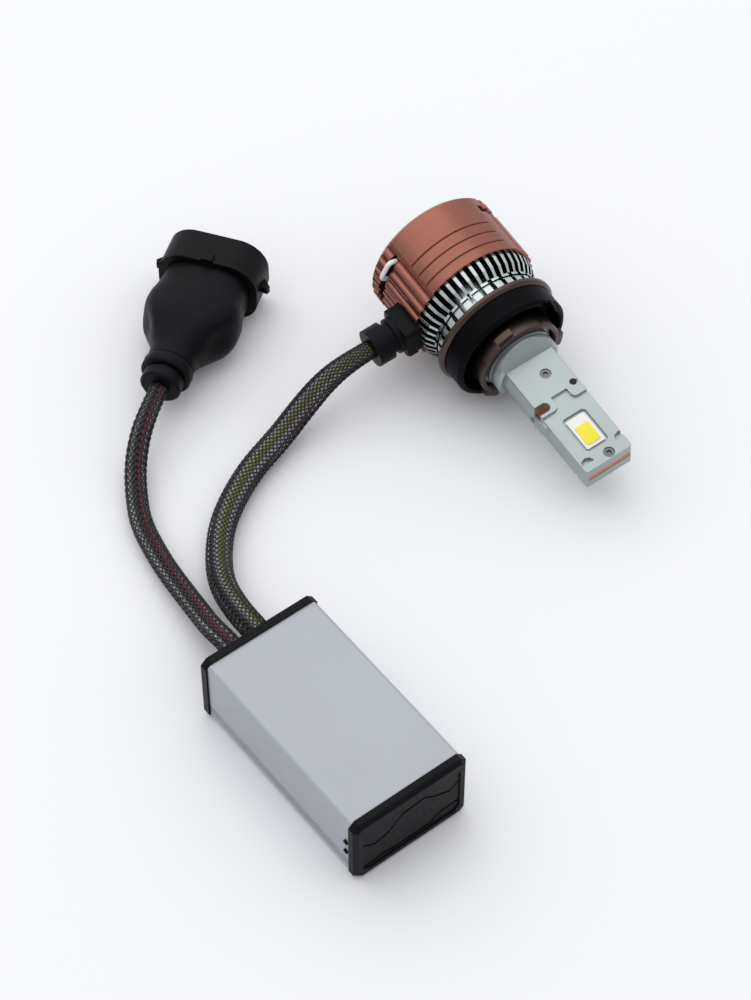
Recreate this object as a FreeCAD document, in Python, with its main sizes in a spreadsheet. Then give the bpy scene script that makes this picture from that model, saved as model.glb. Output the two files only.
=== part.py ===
"""LED headlight bulb with a PGJ19-style lock collar, its driver box and its vehicle-side plug.

Bulb frame:   Z along the bulb's axis towards the emitters, zero at the lock tabs' reference plane,
              Y through the middle of the front emitter, X to the side.
Driver frame: Y along the case with the front cap at -Y, Z up from the face that it lies on.
Plug frame:   Z from the cable end towards the plug's mouth, Y up, X to the side.
"""
import FreeCAD, Part
import math
import os
import re
import Sketcher
from FreeCAD import Placement, Rotation, Vector

os.makedirs("parts", exist_ok=True)
doc = FreeCAD.newDocument("HeadlightBulb")

# ------------------------------------------------------------------ driving dimensions, millimetres

SIZES = {
    # where the three assemblies lie on the ground, and how they are turned
    "bulb_x": 39.56, "bulb_y": 23.06, "bulb_roll": 8.2,
    "driver_x": -39.64, "driver_y": -30.74, "driver_yaw": 4.1,
    "plug_x": -22.74, "plug_y": 58.76, "plug_height": 7.8, "plug_yaw": 38.5,
    # fan shroud and the row of stations behind the reference plane
    "shroud_radius": 14.6, "shroud_front": -15.0, "shroud_back": -30.9, "shroud_bore": 13.2,
    "shroud_lip_bore": 13.9, "shroud_lip": 2.4, "shroud_chamfer": 0.8,
    "flute_width": 2.2, "flute_depth": 0.45, "flute_count": 9, "flute_first": 135.0,
    "panel_edge": 130.0, "panel_angle": 82.0, "panel_line": 0.5,
    "vent_height": 1.8, "vent_back": -27.9, "vent_angle": 92.0,
    "step_first": -23.0, "step_pitch": 2.7, "step_height": 0.4, "step_depth": 0.2,
    # fan
    "guard_radius": 13.1, "guard_front": -29.8, "guard_thick": 0.8, "guard_hub": 5.9,
    "guard_slot_width": 1.9, "guard_slot_end": 11.3, "guard_slots": 12,
    "guard_screw_circle": 12.35, "guard_screw_clock": 15.0, "guard_screw_radius": 0.45,
    "guard_screw_head": 0.85,
    "frame_radius": 13.1, "frame_bore": 11.6, "frame_front": -19.6, "frame_base": 1.0,
    "strut_width": 1.6, "motor_base_radius": 5.6,
    "hub_radius": 5.6, "hub_bore": 4.8, "hub_back": -28.6, "hub_front": -21.6, "hub_plate": 1.0,
    "blade_tip": 11.0, "blade_thick": 0.6, "blade_sweep": 3.2, "blade_count": 9,
    "shaft_radius": 0.75, "shaft_front": -20.2, "bearing_bore": 0.80, "bearing_radius": 1.53,
    "bearing_tube": 2.2, "stator_radius": 3.85, "magnet_bore": 4.2,
    "board_radius": 5.2, "board_thick": 0.65,
    "wire_radius": 0.5, "wire_lift": 0.75,
    # heatsink
    "sink_bore": 7.45, "sink_back": -17.2, "sink_front": -7.4, "fin_radius": 13.85,
    "fin_kink": -14.2, "fin_waist": -12.3, "fin_waist_radius": 13.35, "block_back": -10.7,
    "block_radius": 12.4, "fin_slot": 1.15, "fin_root": 9.6, "fin_count": 45,
    "block_slot": 0.95, "block_root": 10.2, "block_count": 30,
    # lock collar and seal
    "collar_bore": 7.48, "flange_radius": 13.75, "flange_back": -7.3, "flange_front": -6.0,
    "flange_chamfer": 0.6, "neck_radius": 9.5, "neck_front": 1.9, "neck_counterbore": 8.5,
    "neck_step": -0.5, "tab_radius": 10.7, "tab_thick": 1.5, "tab_angle": 21.0,
    "tab_clock": 107.5, "tab_count": 3,
    "seal_radius": 13.0, "seal_back": -5.95, "seal_edge": -1.6, "seal_front": -1.0,
    "seal_wall_bore": 11.6, "seal_web": -4.2, "nib_clock": 40.0, "nib_height": 2.6,
    "notch_clock": 50.0, "notch_radius": 1.1, "notch_depth": 2.3,
    # emitter stalk
    "root_radius": 7.4, "root_back": -14.0, "root_front": 4.9, "clip_groove": 7.0,
    "bar_radius": 6.1, "bar_front": 14.5,
    "blade_half_width": 5.48, "blade_half_thick": 2.95, "plateau_rise": 0.6, "stalk_tip": 32.3,
    "plateau_front": 17.4, "channel_back": 11.2, "channel_left": -1.45, "channel_right": 2.3,
    "ramp_back": 2.4, "lug_rise": 0.45, "lug_station": 18.5, "core_half_width": 4.9, "core_half_thick": 0.75,
    "recess_half_width": 2.75, "recess_back": 19.8, "recess_front": 28.5, "recess_depth": 0.55,
    "led_half_width": 2.2, "led_back": 20.5, "led_front": 28.0, "led_thick": 0.45,
    "emitter_half_width": 1.55, "emitter_back": 22.7, "emitter_front": 27.3,
    "emitter_thick": 0.15,
    "screw_side": 0.9, "screw_back": 9.3, "screw_front": 30.9, "screw_head": 1.1,
    "screw_head_height": 0.6, "screw_sink": 0.8, "screw_shank": 0.65, "screw_hole": 0.70,
    "screw_reach": 2.05,
    # rubber grommet on the bulb
    "grommet_station": -17.8, "grommet_half_length": 4.15, "grommet_half_width": 3.8,
    "grommet_foot": 10.5, "grommet_seat": 13.25, "grommet_top": 17.0, "grommet_step_radius": 3.9,
    "grommet_step_top": 18.2, "grommet_neck_radius": 3.3, "grommet_neck_top": 19.7,
    "grommet_end_radius": 4.1, "grommet_end": 23.2,
    # driver
    "case_width": 25.0, "case_height": 16.1, "case_length": 43.0, "case_wall": 1.3,
    "case_corner": 1.0, "case_lift": 0.4, "rail_height": 4.4, "rail_slot": 1.4, "rail_depth": 0.5,
    "cap_proud": 0.4, "cap_chamfer": 1.3, "front_cap": 2.1, "rear_cap": 1.6, "cap_lip": 1.6,
    "cap_lip_wall": 1.2, "cap_border": 1.4, "cap_groove": 0.3, "cap_edge": 0.8, "relief_width": 0.55,
    "snap_length": 1.0, "snap_height": 0.8,
    "socket_depth": 0.6, "socket_clearance": 0.05,
    "driver_board_width": 23.2, "driver_board_length": 38.0, "driver_board_thick": 1.2,
    "pad_thick": 2.45, "coil_radius": 4.3, "coil_height": 6.0, "cap_can_radius": 2.5,
    "cap_can_height": 7.0, "chip_size": 5.0, "chip_height": 1.6,
    # plug
    "plug_width": 21.5, "plug_tall": 15.4, "plug_corner": 6.2, "plug_wall": 1.5,
    "plug_back": 28.8, "plug_floor": 30.4, "plug_mouth": 36.5, "lug_reach": 1.7,
    "lug_back": 31.2, "lug_front": 34.6, "lug_tall": 1.6,
    "boot_start": 3.2, "boot_ring_radius": 5.3, "boot_ring_end": 6.0, "nut_radius": 4.3,
    "nut_end": 3.2, "pin_width": 2.8, "pin_thick": 0.8, "pin_pitch": 6.4, "pin_tip": 35.2,
    # cables
    "bulb_cable_radius": 2.75, "input_cable_radius": 2.3,
    "bulb_cable_socket": 2.9, "input_cable_socket": -2.9, "socket_height": 8.05,
}

sheet = doc.addObject("Spreadsheet::Sheet", "Sizes")
for row, (alias, number) in enumerate(SIZES.items(), 1):
    sheet.set("A%d" % row, alias)
    sheet.set("B%d" % row, str(number))
    sheet.setAlias("B%d" % row, alias)
doc.recompute()


def size(alias):
    """The number that the sheet holds under this alias."""
    return float(sheet.get(alias))


def formula(words):
    """A FreeCAD expression: every bare alias gets the sheet's name in front."""
    return re.sub(r"[a-z]\w*", r"Sizes.\g<0>", words)


# ------------------------------------------------------------------ the three frames

# The bulb rests on its shroud's front edge and its flange's front edge, so its nose points down.
PITCH = math.atan2(size("shroud_radius") - size("flange_radius"),
                   size("flange_front") - size("flange_chamfer") - size("shroud_front"))
BULB_Z = size("shroud_radius") * math.cos(PITCH) + size("shroud_front") * math.sin(PITCH)
BULB = Placement(
    Vector(size("bulb_x"), size("bulb_y"), BULB_Z),
    Rotation(Vector(1, 0, 0), 90 + math.degrees(PITCH)) * Rotation(Vector(0, 0, 1), size("bulb_roll")),
)
BULB_BACK_SIDE = BULB * Placement(Vector(0, 0, 0), Rotation(Vector(0, 0, 1), 180))
GROMMET = BULB * Placement(Vector(0, 0, size("grommet_station")), Rotation(Vector(0, 1, 0), -90))
DRIVER = Placement(
    Vector(size("driver_x"), size("driver_y"), size("case_lift")),
    Rotation(Vector(0, 0, 1), size("driver_yaw")),
)
PLUG_TURN = math.radians(size("plug_yaw"))
PLUG = Placement(
    Vector(size("plug_x"), size("plug_y"), size("plug_height")),
    Rotation(Vector(-math.sin(PLUG_TURN), math.cos(PLUG_TURN), 0), Vector(0, 0, 1),
             Vector(math.cos(PLUG_TURN), math.sin(PLUG_TURN), 0), "ZXY"),
)

# ------------------------------------------------------------------ modelling helpers

nodes = []


def node(item, placement):
    """Places a finished sub-part and lists it for export."""
    item.Placement = placement
    nodes.append(item)
    return item


def new_body(label):
    body = doc.addObject("PartDesign::Body", label)
    body.Label = label
    return body


def origin_plane(body, role):
    return next(item for item in body.Origin.OriginFeatures if item.Role == role)


def blank_sketch(body, role, offset="0", turn=0.0):
    """A sketch on one of the body's origin planes, moved along its normal by a formula.

    turn swings an XZ or XY sketch about the body's Z axis, in degrees.
    """
    sketch = body.newObject("Sketcher::SketchObject", "Sketch")
    sketch.AttachmentSupport = (origin_plane(body, role), [""])
    sketch.MapMode = "FlatFace"
    upright = Vector(0, 0, 1) if role == "XY_Plane" else Vector(0, 1, 0)
    sketch.AttachmentOffset = Placement(Vector(0, 0, 0), Rotation(upright, turn))
    if offset != "0":
        sketch.setExpression("AttachmentOffset.Base.z", formula(offset))
    return sketch


def pin_point(sketch, geometry, place, x, y):
    """Holds one point of a sketch at two formulas."""
    for kind, words in (("DistanceX", x), ("DistanceY", y)):
        index = sketch.addConstraint(Sketcher.Constraint(kind, -1, 1, geometry, place, 1.0))
        sketch.setExpression("Constraints[%d]" % index, formula(words))


def outline(sketch, corners):
    """Adds a closed outline with straight sides; each corner is a pair of formulas."""
    first = sketch.GeometryCount
    count = len(corners)
    ring = [Vector(10 * math.cos(math.tau * i / count), 10 * math.sin(math.tau * i / count), 0)
            for i in range(count)]
    for i in range(count):
        sketch.addGeometry(Part.LineSegment(ring[i], ring[(i + 1) % count]), False)
    for i in range(count):
        follower = first + (i + 1) % count
        sketch.addConstraint(Sketcher.Constraint("Coincident", first + i, 2, follower, 1))
    for i, (x, y) in enumerate(corners):
        pin_point(sketch, first + i, 1, x, y)
    return sketch


def circle(sketch, radius, x="0", y="0"):
    index = sketch.addGeometry(Part.Circle(Vector(0, 0, 0), Vector(0, 0, 1), 1.0), False)
    limit = sketch.addConstraint(Sketcher.Constraint("Radius", index, 1.0))
    sketch.setExpression("Constraints[%d]" % limit, formula(radius))
    pin_point(sketch, index, 3, x, y)
    return sketch


def rounded_box(sketch, wide, tall, corner):
    """A centred box with round corners; its width, height and corner radius are formulas."""
    first = sketch.GeometryCount
    quarter = math.pi / 2
    for number, (x_sign, y_sign) in enumerate(((1, 1), (-1, 1), (-1, -1), (1, -1))):
        centre = Vector(5 * x_sign, 5 * y_sign, 0)
        sketch.addGeometry(Part.ArcOfCircle(Part.Circle(centre, Vector(0, 0, 1), 1.0),
                                            quarter * number, quarter * (number + 1)), False)
    for number in range(4):
        arc = first + number
        follower = first + (number + 1) % 4
        side = sketch.addGeometry(Part.LineSegment(sketch.getPoint(arc, 2),
                                                   sketch.getPoint(follower, 1)), False)
        sketch.addConstraint(Sketcher.Constraint("Coincident", arc, 2, side, 1))
        sketch.addConstraint(Sketcher.Constraint("Coincident", side, 2, follower, 1))
    for number, (x_sign, y_sign) in enumerate((("", ""), ("0 - ", ""), ("0 - ", "0 - "), ("", "0 - "))):
        arc = first + number
        ends = ("Horizontal", "Vertical") if number % 2 == 0 else ("Vertical", "Horizontal")
        for place, kind in enumerate(ends, 1):
            sketch.addConstraint(Sketcher.Constraint(kind, arc, place, arc, 3))
        limit = sketch.addConstraint(Sketcher.Constraint("Radius", arc, 1.0))
        sketch.setExpression("Constraints[%d]" % limit, formula(corner))
        pin_point(sketch, arc, 3, x_sign + "((%s) / 2 - (%s))" % (wide, corner),
                  y_sign + "((%s) / 2 - (%s))" % (tall, corner))
    return sketch


def box_corners(x_low, x_high, y_low, y_high):
    return [(x_low, y_low), (x_high, y_low), (x_high, y_high), (x_low, y_high)]


def settle(item):
    """Recomputes the document and stops at once if the new feature failed."""
    doc.recompute()
    if "Invalid" in item.State:
        raise RuntimeError("%s: %s" % (item.Name, item.getStatusString()))
    return item


def feature(body, kind, sketch, **settings):
    """A sketch-based feature; text settings are formulas, the rest are plain values."""
    item = body.newObject("PartDesign::" + kind, kind)
    item.Profile = sketch
    for name, value in settings.items():
        if isinstance(value, str) and name in ("Length", "Angle"):
            item.setExpression(name, formula(value))
        else:
            setattr(item, name, value)
    return settle(item)


def pad(body, sketch, length, **settings):
    return feature(body, "Pad", sketch, Length=length, **settings)


def pocket(body, sketch, length, **settings):
    """A cut, refused when it removes nothing."""
    before = body.Shape.Volume
    item = feature(body, "Pocket", sketch, Length=length, **settings)
    if body.Shape.Volume > before - 1e-4:
        raise RuntimeError("%s: %s cuts nothing" % (body.Label, item.Name))
    return item


def volume(body):
    return 0.0 if body.Shape.isNull() else body.Shape.Volume


def turned(body, sketch, kind="Revolution", angle="360", midplane=False):
    """A revolution or groove about the body's Z axis, which is an XZ sketch's vertical."""
    before = volume(body)
    item = feature(body, kind, sketch, ReferenceAxis=(sketch, ["V_Axis"]), Angle=angle,
                   Midplane=midplane)
    if kind == "Groove" and body.Shape.Volume > before - 1e-4:
        raise RuntimeError("%s: %s cuts nothing" % (body.Label, item.Name))
    return item


def around(body, items, sketch, axis, angle, count):
    """A polar pattern about one axis of a sketch; angle and count are formulas."""
    pattern = body.newObject("PartDesign::PolarPattern", "PolarPattern")
    pattern.Originals = items
    pattern.Axis = (sketch, [axis])
    pattern.setExpression("Angle", formula(angle))
    pattern.setExpression("Occurrences", formula(count))
    body.Tip = pattern
    return settle(pattern)


def edges_along(shape, axis, test=lambda edge: True):
    """Names of the straight edges that run along an axis and pass a test."""
    names = []
    for number, edge in enumerate(shape.Edges, 1):
        if not isinstance(edge.Curve, Part.Line):
            continue
        direction = edge.tangentAt(edge.FirstParameter)
        if abs(abs(direction.dot(axis)) - 1) < 1e-6 and test(edge):
            names.append("Edge%d" % number)
    return names


def soften(body, kind, radius, names):
    """A fillet or chamfer on the body's tip; radius is a formula."""
    base = body.Tip
    item = body.newObject("PartDesign::" + kind, kind)
    item.Base = (base, names)
    item.setExpression("Radius" if kind == "Fillet" else "Size", formula(radius))
    return settle(item)


def ring_body(label, placement, profiles):
    """A body made of closed profiles turned about its Z axis; corners are (radius, height)."""
    body = new_body(label)
    for corners in profiles:
        turned(body, outline(blank_sketch(body, "XZ_Plane"), corners))
    return node(body, placement)


def primitive(kind, label, base=(0, 0, 0), **formulas):
    """A Part primitive in its parent's frame, its sizes bound to the sheet."""
    item = doc.addObject("Part::" + kind, label)
    item.Label = label
    for name, words in formulas.items():
        item.setExpression(name, formula(words))
    item.Placement = Placement(Vector(*base), Rotation())
    return item


def group(label, items, placement):
    """Separate like solids that share one node."""
    compound = doc.addObject("Part::Compound", label)
    compound.Label = label
    compound.Links = items
    return node(compound, placement)


# ------------------------------------------------------------------ fan shroud

def make_shroud():
    """Turned sleeve with smooth panels above and below, fluted sides and two side vents."""
    body = new_body("fan_shroud")
    lip = "shroud_front - shroud_lip"
    profile = outline(blank_sketch(body, "XZ_Plane"), [
        ("shroud_bore", "shroud_back"),
        ("shroud_radius - shroud_chamfer", "shroud_back"),
        ("shroud_radius", "shroud_back + shroud_chamfer"),
        ("shroud_radius", "shroud_front"),
        ("shroud_lip_bore", "shroud_front"),
        ("shroud_lip_bore", lip),
        ("shroud_bore", lip + " - 0.3"),
    ])
    turned(body, profile)
    length = "shroud_front - shroud_back"

    def axial_cut(angle, steps):
        """A straight groove along the outside, at a given angle.

        steps are (depth, half width) formulas from the groove's mouth to its floor.
        """
        sketch = blank_sketch(body, "XY_Plane", "shroud_back", angle)
        one_side = [("shroud_radius - %s" % depth, half) for depth, half in steps]
        other_side = [(depth, "0 - " + half) for depth, half in reversed(one_side)]
        outline(sketch, [("shroud_radius + 1", steps[0][1])] + one_side + other_side
                + [("shroud_radius + 1", "0 - " + steps[0][1])])
        return sketch, pocket(body, sketch, length, Reversed=True)

    # the flutes' flanks slope, so rounded ridges stand between them
    flute = (("0", "flute_width / 2"), ("flute_depth * 0.3", "flute_width * 0.27"),
             ("flute_depth", "flute_width * 0.1"))
    for side in (0, 180):
        sketch, cut = axial_cut(size("flute_first") + side, flute)
        around(body, [cut], sketch, "N_Axis", "10 * (flute_count - 1)", "flute_count")
        axial_cut(size("panel_edge") + side, [("flute_depth", "panel_line / 2")])
    # circumferential vents, one on each fluted side
    for turn in (0.0, 180.0):
        sketch = outline(blank_sketch(body, "XZ_Plane", turn=turn), box_corners(
            "shroud_bore - 1", "shroud_radius + 1", "vent_back", "vent_back + vent_height"))
        turned(body, sketch, "Groove", "vent_angle", True)
    # three fine steps round the front half of each smooth panel
    for turn in (90.0, 270.0):
        for number in range(3):
            low = "step_first + step_pitch * %d" % number
            sketch = outline(blank_sketch(body, "XZ_Plane", turn=turn), [
                ("shroud_radius - step_depth", low),
                ("shroud_radius + 0.5", low),
                ("shroud_radius + 0.5", low + " + step_height"),
                ("shroud_radius", low + " + step_height"),
            ])
            turned(body, sketch, "Groove", "panel_angle", True)
    # opening for the cable grommet, on the -X side and out through the front edge
    sketch = outline(blank_sketch(body, "YZ_Plane", "0 - shroud_radius - 1"), box_corners(
        "0 - grommet_half_width - 0.05", "grommet_half_width + 0.05",
        "grommet_station - grommet_half_length - 0.05", "shroud_front + 1"))
    pocket(body, sketch, "shroud_radius - shroud_bore + 2", Reversed=True)
    return node(body, BULB)


make_shroud()

# ------------------------------------------------------------------ fan

def make_guard():
    """Slotted cover that closes the shroud's rear end."""
    body = new_body("fan_guard")
    back = "guard_front - guard_thick"
    disc = blank_sketch(body, "XY_Plane", back)
    circle(disc, "guard_radius")
    pad(body, disc, "guard_thick")
    slot = blank_sketch(body, "XY_Plane", back)
    outline(slot, box_corners("guard_hub + 0.6", "guard_slot_end",
                              "0 - guard_slot_width / 2", "guard_slot_width / 2"))
    cut = pocket(body, slot, "guard_thick", Reversed=True)
    around(body, [cut], slot, "N_Axis", "360", "guard_slots")
    hole = blank_sketch(body, "XY_Plane", back, size("guard_screw_clock"))
    circle(hole, "guard_screw_radius + 0.05", "guard_screw_circle")
    drilled = pocket(body, hole, "guard_thick", Reversed=True)
    around(body, [drilled], hole, "N_Axis", "360", "3")
    return node(body, BULB)


def make_frame():
    """Moulded fan frame: outer ring, four struts, motor base and bearing tube in one piece."""
    body = new_body("fan_frame")
    base = "frame_front - frame_base"
    turned(body, outline(blank_sketch(body, "XZ_Plane"), [
        ("bearing_radius + 0.02", "frame_front"),
        ("motor_base_radius", "frame_front"),
        ("motor_base_radius", base),
        ("bearing_tube", base),
        ("bearing_tube", "frame_front - 6.6"),
        ("bearing_radius + 0.02", "frame_front - 6.6"),
    ]))
    arm = blank_sketch(body, "XY_Plane", base)
    outline(arm, box_corners("motor_base_radius - 1", "frame_bore + 0.5",
                             "0 - strut_width / 2", "strut_width / 2"))
    strut = pad(body, arm, "frame_base")
    around(body, [strut], arm, "N_Axis", "360", "4")
    turned(body, outline(blank_sketch(body, "XZ_Plane"), box_corners(
        "frame_bore", "frame_radius", "guard_front", "frame_front")))
    hole = blank_sketch(body, "XY_Plane", "guard_front", size("guard_screw_clock"))
    circle(hole, "guard_screw_radius", "guard_screw_circle")
    drilled = pocket(body, hole, "4", Reversed=True)
    around(body, [drilled], hole, "N_Axis", "360", "3")
    return node(body, BULB)


def make_rotor():
    """Fan wheel: a cup-shaped hub with slanted flat blades."""
    body = new_body("fan_rotor")
    turned(body, outline(blank_sketch(body, "XZ_Plane"), [
        ("shaft_radius", "hub_back"),
        ("hub_radius - 0.4", "hub_back"),
        ("hub_radius", "hub_back + 0.4"),
        ("hub_radius", "hub_front"),
        ("hub_bore", "hub_front"),
        ("hub_bore", "hub_back + hub_plate"),
        ("shaft_radius + 0.7", "hub_back + hub_plate"),
        ("shaft_radius + 0.7", "hub_back + hub_plate + 0.7"),
        ("shaft_radius", "hub_back + hub_plate + 0.7"),
    ]))
    start = "hub_bore + 0.2"
    section = outline(blank_sketch(body, "YZ_Plane", start), [
        ("0 - blade_sweep / 2 - blade_thick / 2", "hub_back + 0.8"),
        ("0 - blade_sweep / 2 + blade_thick / 2", "hub_back + 0.8"),
        ("blade_sweep / 2 + blade_thick / 2", "hub_front - 0.4"),
        ("blade_sweep / 2 - blade_thick / 2", "hub_front - 0.4"),
    ])
    blade = pad(body, section, "blade_tip - hub_bore - 0.2")
    axis = blank_sketch(body, "XY_Plane")
    around(body, [blade], axis, "N_Axis", "360", "blade_count")
    return node(body, BULB)


def make_stator():
    """Four-pole motor core round the bearing tube."""
    body = new_body("fan_stator")
    core = blank_sketch(body, "XY_Plane", "hub_back + 3")
    circle(core, "bearing_tube + 0.8")
    circle(core, "bearing_tube + 0.02")
    pad(body, core, "3.4")
    pole = blank_sketch(body, "XY_Plane", "hub_back + 3")
    outline(pole, [
        ("bearing_tube + 0.4", "0 - 0.5"),
        ("stator_radius - 0.6", "0 - 0.5"),
        ("stator_radius - 0.6", "0 - 1.5"),
        ("stator_radius - 0.3", "0 - 1.5"),
        ("stator_radius", "0"),
        ("stator_radius - 0.3", "1.5"),
        ("stator_radius - 0.6", "1.5"),
        ("stator_radius - 0.6", "0.5"),
        ("bearing_tube + 0.4", "0.5"),
    ])
    arm = pad(body, pole, "3.4")
    around(body, [arm], pole, "N_Axis", "360", "4")
    return node(body, BULB)


def tube_corners(inner, outer, low, high):
    return [[(inner, low), (outer, low), (outer, high), (inner, high)]]


def make_guard_screws():
    screws = []
    for number in range(3):
        angle = math.radians(size("guard_screw_clock") + 120 * number)
        place = Vector(size("guard_screw_circle") * math.cos(angle),
                       size("guard_screw_circle") * math.sin(angle), 0)
        back = size("guard_front") - size("guard_thick")
        shank = primitive("Cylinder", "guard_screw_shank_%d" % number,
                          (place.x, place.y, back), Radius="guard_screw_radius", Height="4")
        head = primitive("Cylinder", "guard_screw_head_%d" % number,
                         (place.x, place.y, back - 0.3), Radius="guard_screw_head", Height="0.3")
        screw = doc.addObject("Part::Fuse", "guard_screw_%d" % number)
        screw.Base = head
        screw.Tool = shank
        screws.append(screw)
    return group("guard_screws", screws, BULB)


def bent_path(points):
    """Straight runs through the points joined by tangent arcs, and the arcs' radii."""
    edges = []
    radii = []
    start = points[0]
    for before, corner, after in zip(points, points[1:], points[2:]):
        into = (corner - before).normalize()
        out = (after - corner).normalize()
        turn = into.getAngle(out)
        shorter = min((corner - before).Length, (after - corner).Length)
        radius = 0.45 * shorter / math.tan(turn / 2)
        radii.append(radius)
        reach = radius * math.tan(turn / 2)
        first = corner - into * reach
        last = corner + out * reach
        inward = (out - into).normalize()
        middle = corner + inward * (radius / math.cos(turn / 2) - radius)
        edges.append(Part.LineSegment(start, first).toShape())
        edges.append(Part.Arc(first, middle, last).toShape())
        start = last
    edges.append(Part.LineSegment(start, points[-1]).toShape())
    return Part.Wire(edges), radii


def swept_tube(path, radius, start, direction):
    section = Part.Wire(Part.Circle(start, direction, radius).toShape())
    return path.makePipeShell([section], True, False)


def make_fan_wire():
    """White fan lead that loops out of the -X side vent and back in."""
    height = size("vent_back") + size("vent_height") / 2
    inside = size("shroud_radius") - 0.9
    outside = size("shroud_radius") + size("wire_lift")
    stops = ((inside, 158), (outside, 156), (outside, 147), (outside, 139.5), (inside, 137.5))
    points = [Vector(r * math.cos(math.radians(a)), r * math.sin(math.radians(a)), height)
              for r, a in stops]
    path, _ = bent_path(points)
    item = doc.addObject("Part::Feature", "fan_wire")
    item.Label = "fan_wire"
    item.Shape = swept_tube(path, size("wire_radius"), points[0], points[1] - points[0])
    return node(item, BULB)


make_guard()
make_frame()
make_rotor()
make_stator()
make_guard_screws()
ring_body("fan_magnet", BULB, tube_corners(
    "magnet_bore", "hub_bore - 0.02", "hub_back + hub_plate + 0.1", "hub_front - 0.2"))
ring_body("fan_bearing", BULB, tube_corners(
    "bearing_bore", "bearing_radius", "frame_front - 6.6", "frame_front - 0.3"))
ring_body("fan_board", BULB, tube_corners(
    "bearing_tube + 0.05", "board_radius", "frame_front - frame_base - board_thick",
    "frame_front - frame_base"))
ring_body("fan_shaft", BULB, [[
    ("0", "hub_back"), ("shaft_radius", "hub_back"), ("shaft_radius", "shaft_front"),
    ("0", "shaft_front")]])
make_fan_wire()

# ------------------------------------------------------------------ heatsink

def make_heatsink():
    """Turned core with thin fins behind and a row of wider blocks in front."""
    body = new_body("heatsink")
    turned(body, outline(blank_sketch(body, "XZ_Plane"), [
        ("sink_bore", "sink_back"),
        ("fin_radius", "sink_back"),
        ("fin_radius", "fin_kink"),
        ("fin_waist_radius", "fin_waist"),
        ("block_radius - 0.1", "block_back"),
        ("block_radius", "block_back + 0.1"),
        ("block_radius", "block_back + 0.7"),
        ("block_radius - 0.35", "block_back + 0.85"),
        ("block_radius - 0.35", "block_back + 1.1"),
        ("block_radius", "block_back + 1.25"),
        ("block_radius", "sink_front"),
        ("sink_bore", "sink_front"),
    ]))

    def slots(root, width, low, high, count):
        sketch = blank_sketch(body, "XY_Plane", low)
        outline(sketch, box_corners(root, "fin_radius + 1", "0 - %s / 2" % width, "%s / 2" % width))
        cut = pocket(body, sketch, "%s - (%s)" % (high, low), Reversed=True)
        around(body, [cut], sketch, "N_Axis", "360", count)

    slots("fin_root", "fin_slot", "sink_back", "block_back", "fin_count")
    slots("block_root", "block_slot", "block_back", "sink_front", "block_count")
    seat = outline(blank_sketch(body, "YZ_Plane", "0 - fin_radius - 1"), box_corners(
        "0 - grommet_half_width - 0.05", "grommet_half_width + 0.05",
        "sink_back - 1", "grommet_station + grommet_half_length + 0.05"))
    pocket(body, seat, "fin_radius + 1 - grommet_foot + 0.05", Reversed=True)
    return node(body, BULB)


make_heatsink()

# ------------------------------------------------------------------ lock collar and seal

def make_collar():
    """Flanged sleeve with three lock tabs, free to turn on the stalk's root."""
    body = new_body("lock_collar")
    turned(body, outline(blank_sketch(body, "XZ_Plane"), [
        ("collar_bore", "flange_back"),
        ("flange_radius", "flange_back"),
        ("flange_radius", "flange_front - flange_chamfer"),
        ("flange_radius - flange_chamfer", "flange_front"),
        ("neck_radius", "flange_front"),
        ("neck_radius", "neck_front - 0.3"),
        ("neck_radius - 0.3", "neck_front"),
        ("neck_counterbore", "neck_front"),
        ("neck_counterbore", "neck_step"),
        ("collar_bore", "neck_step"),
    ]))
    tab = outline(blank_sketch(body, "XZ_Plane", turn=size("tab_clock")), box_corners(
        "neck_radius - 0.3", "tab_radius", "0", "tab_thick"))
    lug = turned(body, tab, angle="tab_angle", midplane=True)
    around(body, [lug], tab, "V_Axis", "360", "tab_count")
    return node(body, BULB)


def make_seal():
    """Rubber seal ring with an open front channel, one pointed nib and a round notch."""
    body = new_body("seal_ring")
    turned(body, outline(blank_sketch(body, "XZ_Plane"), [
        ("neck_radius + 0.02", "seal_back"),
        ("seal_radius", "seal_back"),
        ("seal_radius", "seal_edge"),
        ("seal_radius - 0.3", "seal_edge + 0.4"),
        ("seal_radius - 0.7", "seal_front"),
        ("seal_wall_bore + 0.3", "seal_front"),
        ("seal_wall_bore", "seal_front - 0.3"),
        ("seal_wall_bore", "seal_web"),
        ("neck_radius + 0.02", "seal_web"),
    ]))
    nib = outline(blank_sketch(body, "XZ_Plane", turn=size("nib_clock")), [
        ("seal_wall_bore", "seal_front - 0.4"),
        ("seal_radius - 0.1", "seal_front - 0.4"),
        ("seal_radius - 0.2", "seal_front - 0.2 + nib_height / 2"),
        ("seal_radius - 0.6", "seal_front + nib_height - 0.4"),
    ])
    turned(body, nib, angle="4", midplane=True)
    notch = circle(blank_sketch(body, "XY_Plane", "seal_front", size("notch_clock")),
                   "notch_radius", "seal_wall_bore")
    pocket(body, notch, "notch_depth")
    return node(body, BULB)


def make_clip():
    """Open snap ring in the stalk's root that keeps the collar on."""
    body = new_body("collar_clip")
    sketch = outline(blank_sketch(body, "XZ_Plane", turn=90.0), box_corners(
        "clip_groove + 0.02", "neck_counterbore - 0.3", "neck_step + 0.1", "neck_step + 0.8"))
    turned(body, sketch, angle="320", midplane=True)
    return node(body, BULB)


make_collar()
make_seal()
make_clip()

# ------------------------------------------------------------------ emitter stalk

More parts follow.
